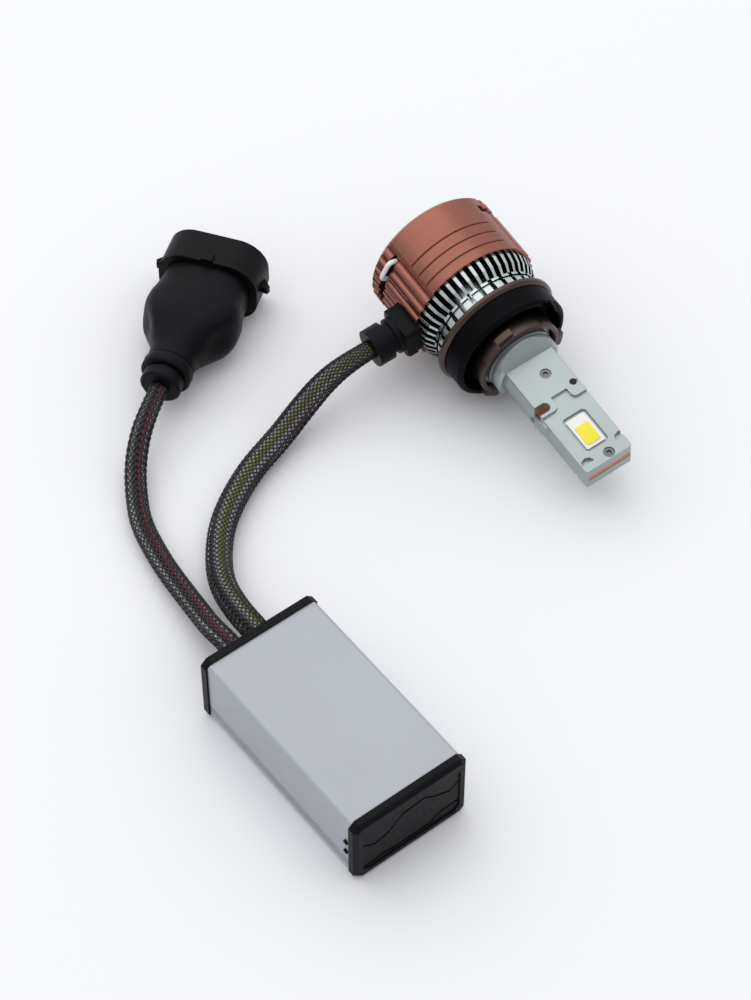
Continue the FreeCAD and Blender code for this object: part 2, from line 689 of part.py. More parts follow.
def make_stalk_half(label, placement):
    """One half of the machined stalk, from the joint face at Y = 0 outwards."""
    body = new_body(label)
    root = outline(blank_sketch(body, "XZ_Plane"), [
        ("0", "root_back"),
        ("root_radius", "root_back"),
        ("root_radius", "neck_step + 0.05"),
        ("clip_groove", "neck_step + 0.05"),
        ("clip_groove", "neck_step + 0.85"),
        ("root_radius", "neck_step + 0.85"),
        ("root_radius", "ramp_back - 0.7"),
        ("root_radius - 0.3", "ramp_back - 0.55"),
        ("root_radius - 0.3", "ramp_back - 0.35"),
        ("root_radius", "ramp_back - 0.2"),
        ("root_radius", "root_front - 0.6"),
        ("root_radius - 0.6", "root_front"),
        ("bar_radius", "root_front"),
        ("bar_radius", "bar_front - 0.4"),
        ("bar_radius - 0.4", "bar_front"),
        ("0", "bar_front"),
    ])
    half_turn = turned(body, root, angle="180")
    if body.Shape.BoundBox.YMin < -0.01:
        half_turn.Reversed = True
        doc.recompute()
    blade = outline(blank_sketch(body, "XY_Plane"), box_corners(
        "0 - blade_half_width", "blade_half_width", "0", "blade_half_thick"))
    pad(body, blade, "stalk_tip")
    # raised plateau behind the emitter, split by a channel into two arms with round ends
    plateau = outline(blank_sketch(body, "XZ_Plane", "0 - blade_half_thick"), [
        ("0 - blade_half_width", "0"),
        ("blade_half_width", "0"),
        ("blade_half_width", "plateau_front - 0.4"),
        ("channel_right + 1", "plateau_front - 0.4"),
        ("channel_right + 0.3", "plateau_front - 0.7"),
        ("channel_right", "plateau_front - 1.4"),
        ("channel_right", "channel_back + 0.9"),
        ("channel_right - 0.7", "channel_back + 0.2"),
        ("channel_right - 1.6", "channel_back"),
        ("channel_left + 1.6", "channel_back"),
        ("channel_left + 0.5", "channel_back + 0.4"),
        ("channel_left", "channel_back + 1.4"),
        ("channel_left", "plateau_front - 1"),
        ("channel_left - 0.3", "plateau_front - 0.3"),
        ("channel_left - 1", "plateau_front"),
        ("0 - blade_half_width", "plateau_front"),
    ])
    pad(body, plateau, "plateau_rise", Reversed=True)
    lug = outline(blank_sketch(body, "XZ_Plane"), [
        ("0.2 - blade_half_width", "lug_station - 1.1"),
        ("0 - blade_half_width - lug_rise", "lug_station - 0.7"),
        ("0 - blade_half_width - lug_rise", "lug_station + 0.7"),
        ("0.2 - blade_half_width", "lug_station + 1.1"),
    ])
    pad(body, lug, "blade_half_thick - 0.5", Reversed=True)
    ramp = outline(blank_sketch(body, "YZ_Plane", "0 - root_radius - 1"), [
        ("root_radius + 1", "ramp_back"),
        ("root_radius", "ramp_back"),
        ("blade_half_thick + plateau_rise", "root_front"),
        ("blade_half_thick + plateau_rise", "bar_front + 1"),
        ("root_radius + 1", "bar_front + 1"),
    ])
    pocket(body, ramp, "root_radius * 2 + 2", Reversed=True)
    core = outline(blank_sketch(body, "XY_Plane", "root_back"), box_corners(
        "0 - core_half_width", "core_half_width", "0 - 1", "core_half_thick"))
    pocket(body, core, "stalk_tip - root_back + 1", Reversed=True)

    def face_cut(corners, depth, top="blade_half_thick"):
        """A cut of a given depth into the outward face; corners are (X, Z)."""
        sketch = outline(blank_sketch(body, "XZ_Plane", "0 - (%s)" % top), corners)
        pocket(body, sketch, depth, Reversed=True)

    window = [
        ("0 - recess_half_width + 0.6", "recess_back"),
        ("recess_half_width - 0.6", "recess_back"),
        ("recess_half_width", "recess_back + 0.6"),
        ("recess_half_width", "recess_front - 0.6"),
        ("recess_half_width - 0.6", "recess_front"),
        ("0 - recess_half_width + 0.6", "recess_front"),
        ("0 - recess_half_width", "recess_front - 0.6"),
        ("0 - recess_half_width", "recess_back + 0.6"),
    ]
    face_cut(window, "recess_depth")
    raised = "blade_half_thick + plateau_rise"
    through = "blade_half_thick + plateau_rise"
    # side slots that look onto the copper core, then two shallow half-moon pockets by the tip
    face_cut([
        ("0 - blade_half_width - 1", "14.6"), ("0 - 3.4", "14.6"), ("0 - 2.8", "15.0"),
        ("0 - 2.6", "15.6"), ("0 - 2.8", "16.3"), ("0 - 3.4", "16.7"),
        ("0 - blade_half_width - 1", "16.7")], through, raised)
    face_cut(box_corners("4.3", "blade_half_width + 1", "13.9", "14.4"), through, raised)
    hole = circle(blank_sketch(body, "XZ_Plane", "0 - (%s)" % raised), "0.75", "4.3", "14.0")
    pocket(body, hole, through, Reversed=True)
    for middle, station in ((-3.9, 30.6), (4.9, 29.4)):
        face_cut([("%s - 1.4" % middle, "%s" % station), ("%s - 1.0" % middle, "%s - 0.9" % station),
                  ("%s" % middle, "%s - 1.3" % station), ("%s + 1.0" % middle, "%s - 0.9" % station),
                  ("%s + 1.4" % middle, "%s" % station)], "0.8")
    # two countersunk screws from this side, two tapped holes for the screws from the other
    for station, top in (("screw_back", raised), ("screw_front", "blade_half_thick")):
        seat = circle(blank_sketch(body, "XZ_Plane", "0 - (%s)" % top), "screw_head + 0.05",
                      "screw_side", station)
        pocket(body, seat, "screw_sink", Reversed=True)
        hole = circle(blank_sketch(body, "XZ_Plane", "0 - (%s)" % top), "screw_hole",
                      "screw_side", station)
        pocket(body, hole, top, Reversed=True)
        tapped = circle(blank_sketch(body, "XZ_Plane"), "screw_shank", "0 - screw_side", station)
        pocket(body, tapped, "screw_reach + 0.1")
    tip = size("stalk_tip")
    upright = edges_along(body.Shape, Vector(0, 1, 0),
                          lambda edge: edge.CenterOfMass.z > tip - 0.01 and edge.Length > 2)
    soften(body, "Fillet", "0.7", upright)
    return node(body, placement)


def make_core():
    """Copper heat spreader between the stalk's halves, with holes for the four screws."""
    body = new_body("copper_core")
    plate = outline(blank_sketch(body, "XY_Plane", "root_back + 0.2"), box_corners(
        "0 - core_half_width + 0.03", "core_half_width - 0.03",
        "0 - core_half_thick", "core_half_thick"))
    pad(body, plate, "stalk_tip - root_back - 0.3")
    for side in ("screw_side", "0 - screw_side"):
        for station in ("screw_back", "screw_front"):
            hole = circle(blank_sketch(body, "XZ_Plane", "0 - 1"), "screw_hole", side, station)
            pocket(body, hole, "2", Reversed=True)
    return node(body, BULB)


def slab(label, placement, half_width, back, front, low, thick):
    """A flat piece on the stalk's face, with small corner chamfers."""
    body = new_body(label)
    sketch = outline(blank_sketch(body, "XZ_Plane", "0 - (%s)" % low), [
        ("0 - %s + 0.2" % half_width, back), ("%s - 0.2" % half_width, back),
        (half_width, "%s + 0.2" % back), (half_width, "%s - 0.2" % front),
        ("%s - 0.2" % half_width, front), ("0 - %s + 0.2" % half_width, front),
        ("0 - %s" % half_width, "%s - 0.2" % front), ("0 - %s" % half_width, "%s + 0.2" % back)])
    pad(body, sketch, thick, Reversed=True)
    return node(body, placement)


def make_stalk_screws(label, placement):
    """The two screws that go in from one side."""
    screws = []
    tops = {"screw_back": size("blade_half_thick") + size("plateau_rise"),
            "screw_front": size("blade_half_thick")}
    for station, top in tops.items():
        seat = top - size("screw_sink")
        upward = Rotation(Vector(1, 0, 0), -90)
        place = Vector(size("screw_side"), 0, size(station))
        head = primitive("Cylinder", label + "_head", Radius="screw_head", Height="screw_head_height")
        head.Placement = Placement(place + Vector(0, seat, 0), upward)
        shank = primitive("Cylinder", label + "_shank", Radius="screw_shank")
        shank.Height = seat + size("screw_reach")
        shank.Placement = Placement(place - Vector(0, size("screw_reach"), 0), upward)
        socket = doc.addObject("Part::Prism", label + "_socket")
        socket.Polygon = 6
        socket.Circumradius = size("screw_head") * 0.55
        socket.Height = size("screw_head_height")
        socket.Placement = Placement(place + Vector(0, seat + 0.2, 0), upward)
        solid = doc.addObject("Part::Fuse", label + "_solid")
        solid.Base = head
        solid.Tool = shank
        screw = doc.addObject("Part::Cut", label + "_screw")
        screw.Base = solid
        screw.Tool = socket
        screws.append(screw)
    return group(label, screws, placement)


make_core()
for side, frame in (("front", BULB), ("rear", BULB_BACK_SIDE)):
    make_stalk_half("stalk_%s_half" % side, frame)
    floor = "blade_half_thick - recess_depth"
    slab("led_board_" + side, frame, "led_half_width", "led_back", "led_front", floor, "led_thick")
    slab("led_emitter_" + side, frame, "emitter_half_width", "emitter_back", "emitter_front",
         floor + " + led_thick", "emitter_thick")
    make_stalk_screws("stalk_screws_" + side, frame)

# ------------------------------------------------------------------ cable grommet on the bulb

def make_grommet():
    """Rubber strain relief: a block seated in the shroud, a stepped neck and a collar.

    Its own Z is the cable's direction, measured from the bulb's axis; X is along the bulb.
    """
    body = new_body("cable_grommet")
    block = outline(blank_sketch(body, "XY_Plane", "grommet_seat"), box_corners(
        "0 - grommet_half_length", "grommet_half_length",
        "0 - grommet_half_width", "grommet_half_width"))
    pad(body, block, "grommet_top - grommet_seat")
    soften(body, "Fillet", "0.9", edges_along(body.Shape, Vector(0, 0, 1)))
    tongue = outline(blank_sketch(body, "XY_Plane", "grommet_foot"), box_corners(
        "1.2", "grommet_half_length - 0.3", "0 - grommet_half_width + 0.3", "grommet_half_width - 0.3"))
    pad(body, tongue, "grommet_seat - grommet_foot + 0.5")
    for radius, low, high in (
            ("grommet_step_radius", "grommet_top", "grommet_step_top"),
            ("grommet_neck_radius", "grommet_step_top", "grommet_neck_top"),
            ("grommet_end_radius", "grommet_neck_top", "grommet_end")):
        pad(body, circle(blank_sketch(body, "XY_Plane", low + " - 0.1"), radius),
            "%s - %s + 0.1" % (high, low))
    nub = circle(blank_sketch(body, "XY_Plane", "grommet_seat + 1.2"), "0.9",
                 "grommet_half_length - 1", "0 - grommet_half_width")
    pad(body, nub, "2")
    return node(body, GROMMET)


make_grommet()

# ------------------------------------------------------------------ driver

def make_case():
    """Extruded tube with board rails inside and fine lines low on its outer sides."""
    body = new_body("driver_case")
    start = "0 - case_length / 2"

    def along(corners):
        return outline(blank_sketch(body, "XZ_Plane", start), corners)

    pad(body, along(box_corners("0 - case_width / 2", "case_width / 2", "0", "case_height")),
        "case_length")
    soften(body, "Fillet", "case_corner", edges_along(body.Shape, Vector(0, 1, 0)))
    pocket(body, along(box_corners("0 - case_width / 2 + case_wall", "case_width / 2 - case_wall",
                                   "case_wall", "case_height - case_wall")),
           "case_length", Reversed=True)
    pocket(body, along(box_corners(
        "0 - case_width / 2 + case_wall - rail_depth", "case_width / 2 - case_wall + rail_depth",
        "rail_height - rail_slot / 2", "rail_height + rail_slot / 2")), "case_length", Reversed=True)
    for side in ("0 - case_width / 2", "case_width / 2"):
        for level in (1.9, 2.7, 3.5):
            line = box_corners("%s - 0.2" % side, "%s + 0.2" % side, "%s - 0.2" % level, "%s + 0.2" % level)
            pocket(body, along(line), "case_length", Reversed=True)
    # windows in both side walls for the front cap's snaps
    window = blank_sketch(body, "YZ_Plane", "0 - case_width / 2 - 1")
    for low in ("case_height * 0.36", "case_height * 0.55"):
        outline(window, box_corners("0 - case_length / 2 + 0.5", "0 - case_length / 2 + 0.5 + snap_length",
                                    low, low + " + snap_height"))
    pocket(body, window, "case_width + 2", Reversed=True)
    return node(body, DRIVER)


def cap_outline(grow):
    """Cap outline with cut corners, standing proud of the case all round."""
    side = "case_width / 2 + %s" % grow
    low = "0 - %s" % grow
    high = "case_height + %s" % grow
    return [
        ("0 - (%s) + cap_chamfer" % side, low), ("%s - cap_chamfer" % side, low),
        (side, "%s + cap_chamfer" % low), (side, "%s - cap_chamfer" % high),
        ("%s - cap_chamfer" % side, high), ("0 - (%s) + cap_chamfer" % side, high),
        ("0 - (%s)" % side, "%s - cap_chamfer" % high), ("0 - (%s)" % side, "%s + cap_chamfer" % low),
    ]


def lip(body, start, reversed_pad):
    """Frame that plugs into the case's end."""
    inner = "case_width / 2 - case_wall"
    sketch = blank_sketch(body, "XZ_Plane", start)
    outline(sketch, box_corners("0 - (%s) + 0.05" % inner, "%s - 0.05" % inner,
                                "case_wall + 0.05", "case_height - case_wall - 0.05"))
    outline(sketch, box_corners(
        "0 - (%s) + 0.05 + cap_lip_wall" % inner, "%s - 0.05 - cap_lip_wall" % inner,
        "case_wall + 0.05 + cap_lip_wall", "case_height - case_wall - 0.05 - cap_lip_wall"))
    pad(body, sketch, "cap_lip", Reversed=reversed_pad)


def make_front_cap():
    """Front cap with a snap-in lip, a sunk panel and two angular relief lines."""
    body = new_body("front_cap")
    face = "case_length / 2"
    pad(body, outline(blank_sketch(body, "XZ_Plane", face), cap_outline("cap_proud")), "front_cap")
    outer = size("case_length") / 2 + size("front_cap")
    rim = ["Edge%d" % number for number, edge in enumerate(body.Shape.Edges, 1)
           if abs(edge.CenterOfMass.y + outer) < 0.01]
    soften(body, "Chamfer", "cap_edge", rim)
    lip(body, face, True)
    # snaps that fill the windows in the case's side walls
    inside = "case_width / 2 - case_wall - 0.1"
    for side, reverse in (("0 - (%s)" % inside, True), (inside, False)):
        sketch = blank_sketch(body, "YZ_Plane", side)
        for low in ("case_height * 0.36", "case_height * 0.55"):
            outline(sketch, box_corners(
                "0 - case_length / 2 + 0.55", "0 - case_length / 2 + 0.45 + snap_length",
                low + " + 0.05", low + " + snap_height - 0.05"))
        pad(body, sketch, "case_wall + 0.5", Reversed=reverse)
    # sunk panel inside a border, crossed by two angular relief lines; shares of width and height
    front = face + " + front_cap"
    panel = outline(blank_sketch(body, "XZ_Plane", front), cap_outline("(0 - cap_border)"))
    pocket(body, panel, "cap_groove")
    upper = ((-0.44, 0.62), (-0.33, 0.51), (-0.21, 0.56), (-0.08, 0.75), (0.12, 0.78), (0.22, 0.67),
             (0.36, 0.58), (0.44, 0.68))
    lower = ((-0.44, 0.16), (-0.26, 0.20), (-0.16, 0.17), (0.16, 0.17), (0.27, 0.27), (0.44, 0.28))
    for line in (upper, lower):
        top = [("case_width * %s" % x, "case_height * %s" % z) for x, z in line]
        bottom = [(x, z + " - relief_width") for x, z in reversed(top)]
        pocket(body, outline(blank_sketch(body, "XZ_Plane", front), top + bottom), "cap_groove * 2")
    return node(body, DRIVER)


def make_rear_cap():
    """Rear cap with a socket for each cable."""
    body = new_body("rear_cap")
    face = "0 - case_length / 2"
    pad(body, outline(blank_sketch(body, "XZ_Plane", face), cap_outline("cap_proud")), "rear_cap",
        Reversed=True)
    lip(body, face, False)
    for cable in ("bulb", "input"):
        sketch = circle(blank_sketch(body, "XZ_Plane", face + " - rear_cap"),
                        "%s_cable_radius + socket_clearance" % cable,
                        "%s_cable_socket" % cable, "socket_height - case_lift")
        pocket(body, sketch, "socket_depth", Reversed=True)
    return node(body, DRIVER)


def make_driver_inside():
    """Circuit board on its thermal pad, with the parts it carries."""
    width = size("driver_board_width")
    length = size("driver_board_length")
    board_low = size("rail_height") - size("driver_board_thick") / 2
    board_top = board_low + size("driver_board_thick")
    board = primitive("Box", "driver_board", Length="driver_board_width",
                      Width="driver_board_length", Height="driver_board_thick")
    board.Placement = Placement(Vector(-width / 2, -length / 2, board_low), Rotation())
    hold = DRIVER * board.Placement
    node(board, hold)
    pad_piece = primitive("Box", "thermal_pad", Length="driver_board_width - 4",
                          Width="driver_board_length - 6", Height="pad_thick")
    pad_low = board_low - size("pad_thick") - 0.02
    node(pad_piece, DRIVER * Placement(Vector(-width / 2 + 2, -length / 2 + 3, pad_low), Rotation()))
    coil = new_body("power_inductor")
    profile = outline(blank_sketch(coil, "XZ_Plane"), [
        ("0", "0"), ("coil_radius", "0"), ("coil_radius", "1"), ("coil_radius - 0.8", "1.4"),
        ("coil_radius - 0.8", "coil_height - 1.4"), ("coil_radius", "coil_height - 1"),
        ("coil_radius", "coil_height"), ("0", "coil_height")])
    turned(coil, profile)
    node(coil, DRIVER * Placement(Vector(3.2, 2.0, board_top), Rotation()))
    cans = [primitive("Cylinder", "capacitor_can", (x, y, board_top),
                      Radius="cap_can_radius", Height="cap_can_height")
            for x, y in ((-6.0, 13.0), (-0.4, 13.0), (5.2, 13.0), (-6.4, -13.0))]
    group("capacitors", cans, DRIVER)
    chips = [primitive("Box", "chip", (x, y, board_top),
                       Length="chip_size", Width="chip_size", Height="chip_height")
             for x, y in ((-8.0, 1.0), (-8.0, -7.0), (0.5, -14.5), (3.0, -8.6))]
    group("control_chips", chips, DRIVER)


make_case()
make_front_cap()
make_rear_cap()
make_driver_inside()

# ------------------------------------------------------------------ vehicle-side plug

def rectangle(body, offset, width, tall):
    return outline(blank_sketch(body, "XY_Plane", offset), box_corners(
        "0 - (%s) / 2" % width, "(%s) / 2" % width, "0 - (%s) / 2" % tall, "(%s) / 2" % tall))


def make_plug_shroud():
    """Oval hollow skirt with a closed back, side lugs and a latch ramp on top."""
    body = new_body("plug_shroud")
    pad(body, rectangle(body, "plug_back", "plug_width", "plug_tall"), "plug_mouth - plug_back")
    pocket(body, rectangle(body, "plug_floor", "plug_width - plug_wall * 2", "plug_tall - plug_wall * 2"),
           "plug_mouth - plug_floor", Reversed=True)
    outer = size("plug_width") / 2
    inner = outer - size("plug_wall")
    for reach, radius in ((inner, "plug_corner - plug_wall"), (outer, "plug_corner")):
        corners = edges_along(body.Shape, Vector(0, 0, 1),
                              lambda edge: abs(abs(edge.CenterOfMass.x) - reach) < 0.01)
        soften(body, "Fillet", radius, corners)
    for sign in ("", "0 - "):
        lug = outline(blank_sketch(body, "XZ_Plane", "0 - lug_tall / 2"), [
            (sign + "(plug_width / 2 - 0.6)", "lug_back + 0.4"),
            (sign + "(plug_width / 2 + lug_reach - 0.3)", "lug_back"),
            (sign + "(plug_width / 2 + lug_reach)", "lug_back + 0.9"),
            (sign + "(plug_width / 2 - 0.6)", "lug_front")])
        pad(body, lug, "lug_tall")
    latch = outline(blank_sketch(body, "YZ_Plane", "0 - 1.2"), [
        ("plug_tall / 2 - 0.4", "plug_back"), ("plug_tall / 2 + 0.6", "plug_back"),
        ("plug_tall / 2 + 0.6", "plug_back + 1.6"), ("plug_tall / 2 - 0.4", "plug_back + 2.8")])
    pad(body, latch, "2.4")
    for side in ("pin_pitch / 2", "0 - pin_pitch / 2"):
        slot = outline(blank_sketch(body, "XY_Plane", "plug_back"), box_corners(
            side + " - pin_width / 2 - 0.02", side + " + pin_width / 2 + 0.02",
            "0 - pin_thick / 2 - 0.02", "pin_thick / 2 + 0.02"))
        pocket(body, slot, "plug_floor - plug_back", Reversed=True)
    return node(body, PLUG)


def make_boot():
    """Moulded boot behind the plug: a ring on its neck, a wide belly, a narrower front."""
    body = new_body("plug_boot")
    pad(body, circle(blank_sketch(body, "XY_Plane", "boot_start"), "boot_ring_radius"),
        "boot_ring_end - boot_start")
    # station along the plug, width, height and corner radius of each section
    stations = (("boot_ring_end - 0.2", 9.8, 9.4, 4.6), ("9.2", 10.8, 10.2, 4.9),
                ("13.0", 15.6, 12.4, 5.6), ("16.5", 20.2, 14.1, 6.1), ("20.0", 20.6, 14.3, 6.2),
                ("24.0", 19.2, 13.8, 5.8), ("plug_back", 18.2, 13.2, 5.4))
    sections = [rounded_box(blank_sketch(body, "XY_Plane", station), str(wide), str(tall), str(corner))
                for station, wide, tall, corner in stations]
    doc.recompute()
    loft = body.newObject("PartDesign::AdditiveLoft", "AdditiveLoft")
    loft.Profile = sections[0]
    loft.Sections = sections[1:]
    loft.Ruled = False
    settle(loft)
    return node(body, PLUG)


def make_pins():
    blades = []
    for side in (-1, 1):
        blade = primitive("Box", "pin_blade", Length="pin_width", Width="pin_thick",
                          Height="pin_tip - plug_back")
        blade.Placement = Placement(Vector(side * size("pin_pitch") / 2 - size("pin_width") / 2,
                                           -size("pin_thick") / 2, size("plug_back")), Rotation())
        blades.append(blade)
    return group("plug_pins", blades, PLUG)


make_plug_shroud()
make_boot()
make_pins()
ring_body("plug_nut", PLUG, [[
    ("0", "0"), ("nut_radius - 0.5", "0"), ("nut_radius", "0.5"), ("nut_radius", "nut_end - 0.5"),
    ("nut_radius - 0.8", "nut_end"), ("0", "nut_end")]])

# ------------------------------------------------------------------ cables

def make_cable(label, radius, points):
    """A braided cable as a plain tube along its route."""
    path, radii = bent_path(points)
    item = doc.addObject("Part::Feature", label)
    item.Label = label
    item.Shape = swept_tube(path, radius, points[0], points[1] - points[0])
    expected = math.pi * radius ** 2 * path.Length
    print(label, "length %.1f mm," % path.Length, "volume ratio %.4f," % (item.Shape.Volume / expected),
          "smallest radius %.1f mm," % min(radii), "lowest point %.2f mm" % item.Shape.BoundBox.ZMin)
    return node(item, Placement())


def socket_floor(cable):
    """Where a cable ends in the rear cap, and the way back out of it."""
    depth = size("case_length") / 2 + size("rear_cap") - size("socket_depth")
    place = Vector(size(cable + "_cable_socket"), depth, size("socket_height") - size("case_lift"))
    return DRIVER.multVec(place), DRIVER.Rotation.multVec(Vector(0, 1, 0))


bulb_exit = GROMMET.multVec(Vector(0, 0, size("grommet_end")))
bulb_out = GROMMET.Rotation.multVec(Vector(0, 0, 1))
bulb_end, bulb_end_out = socket_floor("bulb")
make_cable("cable_bulb", size("bulb_cable_radius"), [
    bulb_exit,
    bulb_exit + bulb_out * 5.8,
    Vector(5.2, 40.9, 8.8),
    Vector(-0.9, 39.8, 5.7),
    Vector(-7.6, 37.5, 3.5),
    Vector(-17.7, 33.8, 2.85),
    Vector(-28.0, 26.6, 2.85),
    Vector(-33.8, 19.1, 3.2),
    Vector(-37.3, 11.7, 4.8),
    Vector(-38.7, 3.7, 7.0),
    bulb_end + bulb_end_out * 5.9,
    bulb_end,
])

input_start = PLUG.multVec(Vector(0, 0, 0))
input_out = PLUG.Rotation.multVec(Vector(0, 0, -1))
input_end, input_end_out = socket_floor("input")
make_cable("cable_input", size("input_cable_radius"), [
    input_start,
    input_start + input_out * 5.8,
    Vector(-31.7, 51.5, 6.5),
    Vector(-35.8, 46.9, 4.0),
    Vector(-39.0, 41.3, 2.5),
    Vector(-41.9, 34.6, 2.4),
    Vector(-43.3, 24.4, 2.6),
    Vector(-43.7, 18.4, 3.2),
    Vector(-44.2, 8.9, 4.6),
    Vector(-44.9, 3.3, 6.7),
    input_end + input_end_out * 5.9,
    input_end,
])

# ------------------------------------------------------------------ checks and export

doc.recompute()
for item in doc.Objects:
    if "Invalid" in item.State or "Error" in item.State:
        raise RuntimeError("%s: %s" % (item.Label, item.State))
for item in nodes:
    if item.Shape.isNull() or not item.Shape.isValid():
        raise RuntimeError("%s has no valid shape" % item.Label)
for item in nodes:
    item.Shape.exportStep("parts/%s.step" % item.Label)
print(len(nodes), "sub-parts written")
own = [item for item in nodes if not item.Label.startswith(("cable_bulb", "cable_input", "plug_"))]
low = [min(getattr(item.Shape.BoundBox, axis + "Min") for item in own) for axis in "XYZ"]
high = [max(getattr(item.Shape.BoundBox, axis + "Max") for item in own) for axis in "XYZ"]
print("box of the object without its loose cables:", [round(n, 2) for n in low], [round(n, 2) for n in high])
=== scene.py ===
"""Looks for the LED headlight bulb: materials, braided cables, moulded rubber, floor, light and camera."""
import math

import bpy
import numpy as np
from mathutils import Matrix, Vector


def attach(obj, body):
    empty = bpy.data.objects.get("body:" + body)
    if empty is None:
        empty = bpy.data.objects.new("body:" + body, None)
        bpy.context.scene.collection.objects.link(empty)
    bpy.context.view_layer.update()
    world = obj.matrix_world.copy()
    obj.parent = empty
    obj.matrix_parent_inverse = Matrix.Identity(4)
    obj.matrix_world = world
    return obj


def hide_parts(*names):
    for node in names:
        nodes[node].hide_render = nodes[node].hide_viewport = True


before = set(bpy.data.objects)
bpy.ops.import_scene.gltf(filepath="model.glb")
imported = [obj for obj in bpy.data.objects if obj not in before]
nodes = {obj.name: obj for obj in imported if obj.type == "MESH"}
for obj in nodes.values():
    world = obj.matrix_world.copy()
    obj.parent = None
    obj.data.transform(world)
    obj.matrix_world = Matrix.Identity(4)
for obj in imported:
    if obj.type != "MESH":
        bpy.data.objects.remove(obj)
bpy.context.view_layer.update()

MM = 0.001
ROOT = "bulb_and_driver"

# ------------------------------------------------------------------ frames, as the CAD source has them

# The bulb rests on its shroud's front edge and its flange's front edge, so its nose points down.
# Millimetres; SHROUD_FRONT is how far the shroud's front edge is behind BULB_ORIGIN.
SHROUD_RADIUS, FLANGE_RADIUS, REST_SPAN = 14.6, 13.75, 8.4
SHROUD_FRONT = 15.0
PITCH = math.atan2(SHROUD_RADIUS - FLANGE_RADIUS, REST_SPAN)
BULB_HEIGHT = SHROUD_RADIUS * math.cos(PITCH) - SHROUD_FRONT * math.sin(PITCH)
BULB_ORIGIN = Vector((39.56, 23.06, BULB_HEIGHT)) * MM
BULB_AXIS = Matrix.Rotation(math.pi / 2 + PITCH, 3, "X") @ Vector((0, 0, 1))
PLUG_YAW = math.radians(38.5)
PLUG = Matrix.Translation(Vector((-22.74, 58.76, 7.8)) * MM) @ Matrix((
    (-math.sin(PLUG_YAW), 0, math.cos(PLUG_YAW), 0),
    (math.cos(PLUG_YAW), 0, math.sin(PLUG_YAW), 0),
    (0, 1, 0, 0),
    (0, 0, 0, 1)))
DRIVER_YAW = math.radians(4.1)
DRIVER_WAY = (Matrix.Rotation(DRIVER_YAW, 3, "Z") @ Vector((0, 1, 0))).normalized()

# ------------------------------------------------------------------ camera

AZIMUTH, ELEVATION, DISTANCE = math.radians(-33.73), math.radians(51.95), 0.600
TARGET = Vector((0.96, 15.87, 0.0)) * MM
LENS, SENSOR = 108.65, 36.0
NEAR_CLIP, FAR_CLIP = 0.02, 20.0
back = Vector((math.sin(AZIMUTH) * math.cos(ELEVATION), -math.cos(AZIMUTH) * math.cos(ELEVATION),
               math.sin(ELEVATION)))
camera = bpy.data.objects.new("camera", bpy.data.cameras.new("camera"))
bpy.context.scene.collection.objects.link(camera)
camera.location = TARGET + back * DISTANCE
camera.rotation_mode = "QUATERNION"
camera.rotation_quaternion = (-back).to_track_quat("-Z", "Y")
camera.data.lens = LENS
camera.data.sensor_width = SENSOR
camera.data.clip_start, camera.data.clip_end = NEAR_CLIP, FAR_CLIP
bpy.context.scene.camera = camera

# ------------------------------------------------------------------ node materials


# A noise's values gather near 0.5, so the middle of its range is spread over a tone or a roughness.
# A blend of two noises gathers more tightly than one, so each blend has a narrower range of its own.
NOISE_LOW, NOISE_HIGH = 0.3, 0.7
FINE_BUMP_DEPTH = 0.00002


class Nodes:
    """A short way to write a node tree."""

    def __init__(self, tree):
        self.tree = tree

    def add(self, kind, inputs=None, **settings):
        item = self.tree.nodes.new(kind)
        for name, value in settings.items():
            setattr(item, name, value)
        for name, value in (inputs or {}).items():
            socket = item.inputs[name]
            if isinstance(value, bpy.types.NodeSocket):
                self.tree.links.new(value, socket)
            else:
                socket.default_value = value
        return item

    def math(self, operation, a, b=0.0, c=0.0):
        item = self.add("ShaderNodeMath", {0: a, 1: b, 2: c}, operation=operation)
        return item.outputs[0]

    def blend(self, a, b, share_of_a):
        """Two values added in shares that make one."""
        return self.math("ADD", self.math("MULTIPLY", a, share_of_a),
                         self.math("MULTIPLY", b, 1.0 - share_of_a))

    def vector(self, operation, a, b=(0, 0, 0), scale=1.0):
        item = self.add("ShaderNodeVectorMath", {0: a, 1: b, 3: scale}, operation=operation)
        return item.outputs["Value" if operation in ("DOT_PRODUCT", "LENGTH") else "Vector"]

    def ramp(self, value, low, high, from_low=NOISE_LOW, from_high=NOISE_HIGH):
        """From low to high while the value goes from from_low to from_high, and level outside that."""
        item = self.add("ShaderNodeMapRange", {"Value": value, "From Min": from_low, "From Max": from_high,
                                               "To Min": low, "To Max": high})
        return item.outputs[0]

    def mix(self, factor, a, b):
        item = self.add("ShaderNodeMix", {0: factor, 6: a, 7: b}, data_type="RGBA")
        return item.outputs[2]

    def noise(self, coords, scale, detail=3.0, roughness=0.5):
        item = self.add("ShaderNodeTexNoise", {"Vector": coords, "Scale": scale, "Detail": detail,
                                               "Roughness": roughness})
        return item.outputs["Fac"]

    def object_coords(self):
        return self.add("ShaderNodeTexCoord").outputs["Object"]

    def constant_vector(self, values):
        return self.add("ShaderNodeCombineXYZ", dict(enumerate(values))).outputs[0]


def rgba(color):
    return (*color, 1.0)


def shade(color, factor):
    return rgba([min(1.0, c * factor) for c in color])


def tinted(n, place, color, tint):
    """From a little darker than the colour, where place is 0, to a little lighter, where it is 1."""
    return n.mix(place, shade(color, 1.0 - tint), shade(color, 1.0 + tint))


def set_sockets(shader, sockets):
    for socket, value in sockets.items():
        shader.inputs[socket.replace("_", " ")].default_value = value


